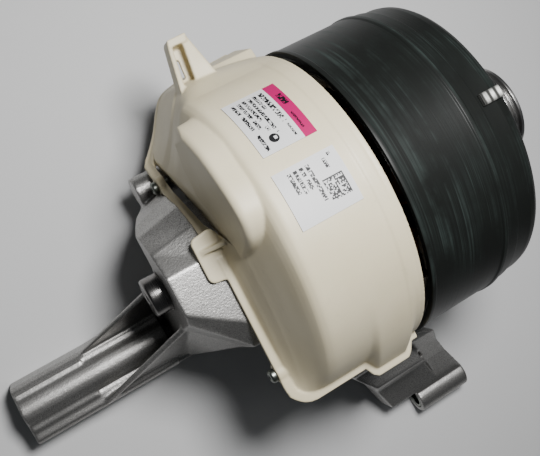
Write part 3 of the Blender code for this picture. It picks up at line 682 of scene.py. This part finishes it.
def make_skin():
    """The cover's main skin as an open grid, thickened inwards."""
    shape = bmesh.new()
    stations = steps(COVER_FRONT, BAND_END, 0.4) + steps(BAND_END - 0.6, COVER_TAIL, 1.2)
    rows = [[shape.verts.new(point) for point in cover_section(x)] for x in stations]
    skin_between(shape, rows, closed=False)
    bmesh.ops.recalc_face_normals(shape, faces=shape.faces)
    if sum(face.normal.z for face in shape.faces) < 0:
        bmesh.ops.reverse_faces(shape, faces=shape.faces)
    skin = new_object("cover_shell", mesh_of("cover", shape))
    thick = skin.modifiers.new("wall", "SOLIDIFY")
    thick.thickness = COVER_WALL * MM
    thick.offset = -1
    settle(skin)
    return skin


def rim_path():
    """Middle of the rim's lip, from the drum along -Y, round the tail and back along the +Y skirt."""
    rim, foot = RIM_HEIGHT + 0.45, SKIRT_HEIGHT + 0.4
    path = [(x, rim_y(x), rim) for x in steps(-4.1, -78.5, 1.2)]
    path += [(-80.6, -77, rim), (-81.2, -72, rim), (-81.2, 5, rim)]
    path += [(-81.2, y, saddle_height(y)) for y in (25, 45, 64)]
    path += [(x, foot_y(x) - 0.6, foot) for x in steps(-79, -4.1, 2)]
    return [Vector((ax(x), y * MM, z * MM)) for x, y, z in path]


def make_lip():
    """A flat lip along the rim, standing out of the skin by 3 mm, and by less along the skirt."""
    path = rim_path()
    half, inner = 1.5 * MM, 2 * MM
    rings = []
    for i, point in enumerate(path):
        along = (path[min(i + 1, len(path) - 1)] - path[max(i - 1, 0)]).normalized()
        out = along.cross(Vector((0, 0, 1))).normalized() * -1
        up = out.cross(along).normalized()
        if up.z < 0:
            up.negate()
        outer = (3 - 1.8 * smooth(50, 72, point.y / MM)) * MM
        rings.append([point - out * inner - up * half, point + out * outer - up * half,
                      point + out * outer + up * half, point - out * inner + up * half])
    return loft("lip", rings)


def pod_ring(x, inset=0.0, spread=1.0):
    """The pod's outline at x, drawn in by the inset and then spread from its centre."""
    ring = []
    for point in closed_spline(POD_OUTLINE, 8):
        away = point - POD_CENTRE
        y, z = POD_CENTRE + away * ((away.length - inset) / away.length * spread)
        ring.append((ax(x), y * MM, z * MM))
    return ring


def make_pod():
    """The pod on the cover's tail face, with a rounded edge, widening a little towards the drum."""
    rings = []
    for angle in (90, 72, 54, 36, 18, 0):
        a = math.radians(angle)
        x = POD_FACE + POD_FILLET * (1 - math.sin(a))
        rings.append(pod_ring(x, POD_FILLET * (1 - math.cos(a))))
    return loft("pod", rings + [pod_ring(-63, 0, 1.02)])


def make_ear():
    """Tapered ear beyond the +Y skirt: a plate between two side walls, with an end wall."""
    plate = rounded([(-56.2, 90), (-50.5, 118), (-39.5, 119), (-32, 90)], 3)
    left = [(-56.2, 90), (-51, 117), (-48.6, 117), (-52.9, 90)]
    right = [(-46, 90), (-42.6, 117), (-39.4, 118), (-32, 90)]
    end = [(-51.2, 114.2), (-50.2, 118.3), (-39.2, 118.7), (-40.3, 114.1)]
    return [prism("ear_plate", plate, (0, 3), "z"), prism("ear_left", left, (1.7, 12.3), "z"),
            prism("ear_right", right, (9, 11.9), "z"), prism("ear_end", end, (1.4, 12.7), "z")]


def cover_hollows():
    """What is cut out of the cover: the pod's inside, the crescent slot beside it and the holes."""
    slot = [(-76.4, 9), (-76.4, 66), (-72.5, 75), (-75.4, 75), (-78.4, 64), (-79.7, 45), (-79.3, 23)]
    hole = rounded([(-51.5, 97), (-49.8, 108), (-46.6, 108), (-47.3, 97)], 1.5)
    holes = [prism("screw_hole", circle(2.3, 24, centre), (-88, -60), "x") for centre in COVER_SCREWS]
    return [loft("pod_hollow", [pod_ring(-73.2, 2.8), pod_ring(-60, 2.8, 1.03)]),
            prism("crescent_slot", slot, (-41, 57), "z"), prism("ear_hole", hole, (-5, 8), "z"), *holes]


def make_cover(surface):
    cover = make_skin()
    tab = prism("tab", rounded([(-79, -7), (-93, -5), (-93, 20), (-79, 22)], 4), (30.3, 33.3), "z")
    rib = prism("tab_rib", [(-92.2, 32.7), (-78.6, 32.7), (-78.6, 41)], (10.5, 13), "y")
    pads = [prism("screw_pad", circle(5.6, 32, centre), (-84, -77.6), "x") for centre in COVER_SCREWS]
    join(cover, make_lip(), make_pod(), tab, rib, *make_ear(), *pads)
    remesh(cover, 0.6)
    cut(cover, *cover_hollows(), solver="MANIFOLD")
    ease(cover, 3)
    paint(cover, surface)
    shade(cover)
    cover.name = "cover_shell"
    stand_in(cover, "housing", "electronics_cover")


# ---------------------------------------------------------------- casting
def make_casting(surface):
    """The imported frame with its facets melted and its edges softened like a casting's."""
    casting = new_object("frame_casting", nodes["mounting_frame"].data.copy())
    remesh(casting, 0.9)
    ease(casting, 5)
    paint(casting, surface)
    shade(casting)
    stand_in(casting, "housing", "mounting_frame")


# ---------------------------------------------------------------- rotor
PULLEY_RIBS, RIB_START, RIB_PITCH = 11, 91, 2.34
CLIP_START, CLIP_END, CLIP_CRIMP = 60.1, 71.9, 4


def make_drum(surface):
    """The drum's stepped wall and its dished end."""
    drum = turned("drum", [
        (0, 86.5), (0, 90), (2.5, 90), (3, 89.3), (46.5, 89.3), (47.5, 90), (50, 90), (51, 88.4), (58, 88.4),
        (58.8, 87), (68, 87), (71.5, 86.2), (74, 84.5), (76.8, 80.5), (79, 75), (80, 67), (80, 44),
        (78, 40), (78, 18.3), (74, 18.3), (74, 74), (66, 82.4), (51, 82.4), (51, 86.5)], surface, 192)
    stand_in(drum, "rotor", "rotor_shell")


def make_pulley(surface):
    """The ribbed pulley: a cone behind, the ribs, and a cup in front."""
    ribs = []
    for rib in range(PULLEY_RIBS):
        start = RIB_START + rib * RIB_PITCH
        ribs += [(start, 25), (start + 0.85, 27), (start + 1.49, 27)]
    back = [(85.5, 7.5), (85.5, 19), (88.5, 28), (90.3, 28)]
    cup = [(RIB_START + PULLEY_RIBS * RIB_PITCH, 25), (118.2, 28), (120, 28), (120, 23), (110, 21), (110, 12),
           (113.8, 12), (113.8, 7.5)]
    pulley = turned("pulley", back + ribs + cup, surface, 128, soften=0.15)
    stand_in(pulley, "rotor", "belt_pulley")


def make_shaft(surface):
    """The shaft, with a groove for the retaining ring at its drive end."""
    shaft = turned("shaft", [
        (-120.2, 0), (-120.2, 3.2), (-113.8, 3.2), (-113.8, 5.5), (-100, 5.5), (-97, 9), (45.7, 9),
        (45.7, 7.2), (114.8, 7.2), (114.8, 6.4), (116.4, 6.4), (116.4, 7.2), (121, 7.2), (122, 6.4),
        (122, 0)], surface, 64)
    stand_in(shaft, "rotor", "motor_shaft")


def make_hub(surface):
    """The flanged boss between the shaft and the drum."""
    hub = turned("hub", [
        (60, 7.5), (60, 13), (67, 13), (69, 30), (73.7, 30), (73.7, 18), (84.5, 18), (84.5, 7.5)],
        surface, soften=0.5)
    stand_in(hub, "rotor", "rotor_hub")


def make_clip(surface):
    """Balance clip: a narrow strip along the drum, crimped three times."""
    rows = []
    for x in steps(CLIP_START, CLIP_END, 0.25):
        wave = 0.3 * math.cos(math.radians((x - 60) * 360 / CLIP_CRIMP))
        outline = [(87.5, 9.9), (88.9 + wave, 9.9), (89.35 + wave, 10.5), (89.35 + wave, 13.5),
                   (88.9 + wave, 14.1), (87.5, 14.1)]
        rows.append([about_shaft(x, radius, angle) for radius, angle in outline])
    clip = loft("clip", rows)
    paint(clip, surface)
    shade(clip, 35)
    stand_in(clip, "rotor", "balance_clip")


# ---------------------------------------------------------------- tail cap, screws, labels
LABEL_GAP, LABEL_FILM = 0.3, 0.2


def make_tail_cap(surface):
    """The cup over the rear bearing."""
    cap = turned("tail_cap", [
        (-105, 9.8), (-105, 11.2), (-121, 11.2), (-122, 10.2), (-122, 2.5), (-120.8, 2.5), (-120.8, 9.8)],
        surface, soften=0.6)
    stand_in(cap, "housing", "rear_bearing_cap")


def socket_outline(centre):
    """A six-pointed drive socket."""
    outline = []
    for a in (math.pi * i / 12 for i in range(24)):
        radius = 1.55 + 0.3 * math.cos(6 * a)
        outline.append((centre[0] + radius * math.sin(a), centre[1] + radius * math.cos(a)))
    return outline


def make_cover_screws(surface):
    for number, centre in enumerate(COVER_SCREWS, 1):
        screw = turned(f"cover_bolt_{number}", [
            (-67, 0), (-67, 1.9), (-84.3, 1.9), (-84.3, 3.8), (-86.6, 3.8), (-87.5, 2.9), (-87.5, 0)],
            surface, 48, centre)
        cut(screw, prism("drive_socket", socket_outline(centre), (-88, -86), "x"))
        paint(screw, surface)
        shade(screw, 35)
        stand_in(screw, "housing", f"cover_screw_{number}")


def make_label(name, node, span, start, sweep, surface):
    """A film on the arch; its print map is in millimetres from the corner at +X and +Y."""
    low = ARCH_RADIUS + LABEL_GAP
    high = low + LABEL_FILM
    shape = bmesh.new()
    print_map = shape.loops.layers.uv.new("print")
    places = {}
    rows = []
    for angle in steps(start, start + sweep, 1.0):
        row = []
        for x, radius in ((span[1], high), (span[0], high), (span[0], low), (span[1], low)):
            vertex = shape.verts.new(about_shaft(x, radius, angle))
            places[vertex] = (math.radians(start + sweep - angle) * high, span[1] - x)
            row.append(vertex)
        rows.append(row)
    skin_between(shape, rows)
    shape.faces.new(rows[0])
    shape.faces.new(rows[-1])
    bmesh.ops.recalc_face_normals(shape, faces=shape.faces)
    for face in shape.faces:
        for loop in face.loops:
            loop[print_map].uv = places[loop.vert]
    label = new_object(name, mesh_of(name, shape), surface)
    shade(label, 35)
    stand_in(label, "housing", node)


def make_labels():
    """The rating label, with its coloured band and seal, and the code label, with its square of dots."""
    rating_rows = [(1.4, 3.0, 4, 18), (3.6, 1.2, 24, 35), (8.4, 2.6, 3, 27), (9.0, 1.2, 29, 37),
                   (12.2, 1.9, 3, 17), (15.2, 1.9, 3, 31), (18.2, 1.9, 3, 28), (21.2, 1.9, 3, 25),
                   (24.4, 2.0, 3, 24), (24.4, 2.0, 28, 38)]
    rating = label_print("rating_print", rating_rows, band=(0, 6.6), seal=(33, 19.5, 2.6))
    make_label("rating_film", "rating_label", (-52, -22), 28.2, 25.8, rating)
    code_rows = [(3.2, 1.9, 2, 9), (6.8, 1.9, 2, 9), (15.5, 2.1, 3, 22), (18.8, 2.1, 3, 15),
                 (22.1, 2.1, 3, 16), (25.4, 2.1, 3, 14)]
    code = label_print("code_print", code_rows, code=(13, 3, 11, 16))
    make_label("code_film", "code_label", (-54, -20), 3, 19, code)


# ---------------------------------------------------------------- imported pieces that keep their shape
def dress(surfaces):
    """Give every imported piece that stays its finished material."""
    for node, surface in surfaces.items():
        obj = nodes[node]
        for material_slot in obj.material_slots:
            material_slot.material = surface
        shade(obj, 35)


def numbered(name, numbers, surface):
    """The same material for a row of numbered pieces."""
    return {name.format(number): surface for number in numbers}


def dress_inner_pieces(bright, dark, screw_steel):
    copper_wire = copper()
    insulator = plain_plastic("nylon_fine", (0.55, 0.52, 0.45), 0.5)
    black_plastic = plain_plastic("black_plastic_fine", (0.02, 0.02, 0.022), 0.45)
    capacitor = plain_plastic("capacitor_fine", (0.02, 0.03, 0.09), 0.3)
    dress({
        "rotor_back_iron": plain_metal("back_iron_fine", (0.30, 0.30, 0.30), 0.4),
        "magnet_ring": plain_plastic("ferrite_fine", (0.05, 0.05, 0.055), 0.6, 0.08),
        "pulley_retaining_ring": dark,
        "front_bearing_outer_ring": bright,
        "front_bearing_inner_ring": bright,
        "front_bearing_balls": bright,
        "rear_bearing_outer_ring": bright,
        "rear_bearing_inner_ring": bright,
        "rear_bearing_balls": bright,
        "preload_wave_washer": screw_steel,
        "stator_core": lamination(),
        "stator_insulator_front": insulator,
        "stator_insulator_rear": insulator,
        "connector_header": insulator,
        "long_arm_sleeve": screw_steel,
        "short_lug_sleeve": screw_steel,
        "control_board": board(),
        "heat_sink": plain_metal("sink_fine", (0.45, 0.45, 0.46), 0.4),
        "power_module": black_plastic,
        "filter_choke": copper_wire,
        "phase_leads": black_plastic,
        **numbered("bulk_capacitor_{}", (1, 2), capacitor),
        **numbered("stator_screw_{}", (1, 2, 3), screw_steel),
        **numbered("board_screw_{}", (1, 2, 3), screw_steel),
        **numbered("stator_coil_{:02d}", range(1, 13), copper_wire),
    })


# ---------------------------------------------------------------- floor, camera and lights
def make_stage():
    """A plain pale floor 3 m square under the motor."""
    floor = prism("studio_floor", [(-1600, -1500), (1400, -1500), (1400, 1500), (-1600, 1500)],
                  (FLOOR / MM - 20, FLOOR / MM), "z")
    paper = Surface("studio_paper", (0.62, 0.62, 0.62), 0.8)
    paint(floor, paper.material)


def add_light(name, place, target, size, watts):
    """A round soft light at a place, in metres, turned to the target."""
    lamp = bpy.data.lights.new(name, "AREA")
    lamp.shape = "DISK"
    lamp.size = size
    lamp.energy = watts
    obj = bpy.data.objects.new(name, lamp)
    bpy.context.scene.collection.objects.link(obj)
    obj.location = place
    obj.rotation_euler = (Vector(target) - Vector(place)).to_track_quat("-Z", "Y").to_euler()


def make_camera():
    back = CAMERA_RIGHT.cross(-CAMERA_DOWN)
    camera = bpy.data.objects.new("camera", bpy.data.cameras.new("camera"))
    bpy.context.scene.collection.objects.link(camera)
    camera.data.sensor_width = 36
    camera.data.angle = CAMERA_ANGLE
    camera.data.clip_start = 0.01
    turn_height_and_shade = Matrix((CAMERA_RIGHT, -CAMERA_DOWN, back)).transposed().to_4x4()
    camera.matrix_world = Matrix.Translation(CAMERA_PLACE) @ turn_height_and_shade
    bpy.context.scene.camera = camera


def make_lights():
    """A dim even room, a key light above and to the right of the camera, and a large weak fill."""
    world = bpy.data.worlds.new("studio")
    world.use_nodes = True
    room = world.node_tree.nodes["Background"]
    room.inputs["Color"].default_value = (0.9, 0.95, 1.0, 1)
    room.inputs["Strength"].default_value = 0.06
    bpy.context.scene.world = world
    middle = (-0.16, -0.01, 0)
    key = CAMERA_PLACE + CAMERA_RIGHT * 0.13 - CAMERA_DOWN * 0.16
    add_light("key", key, middle, 0.16, 4.4)
    add_light("fill", (0.45, 0.1, 0.9), middle, 0.7, 0.7)


make_stage()
make_camera()
make_lights()
bright_steel = turned_metal("bright_steel_fine", (0.32, 0.32, 0.32), (0.62, 0.61, 0.59), 0.28)
dark_steel = turned_metal("dark_steel_fine", (0.12, 0.116, 0.112), (0.26, 0.252, 0.245), 0.24)
screw_steel = plain_metal("screw_steel_fine", (0.26, 0.28, 0.25), 0.3)
make_drum(drum_black())
make_pulley(bright_steel)
make_shaft(bright_steel)
make_hub(bright_steel)
make_tail_cap(dark_steel)
make_clip(plain_metal("clip_steel_fine", (0.27, 0.27, 0.255), 0.42))
make_cover(cream_plastic())
make_casting(cast_aluminium())
make_cover_screws(screw_steel)
make_labels()
dress_inner_pieces(bright_steel, dark_steel, screw_steel)
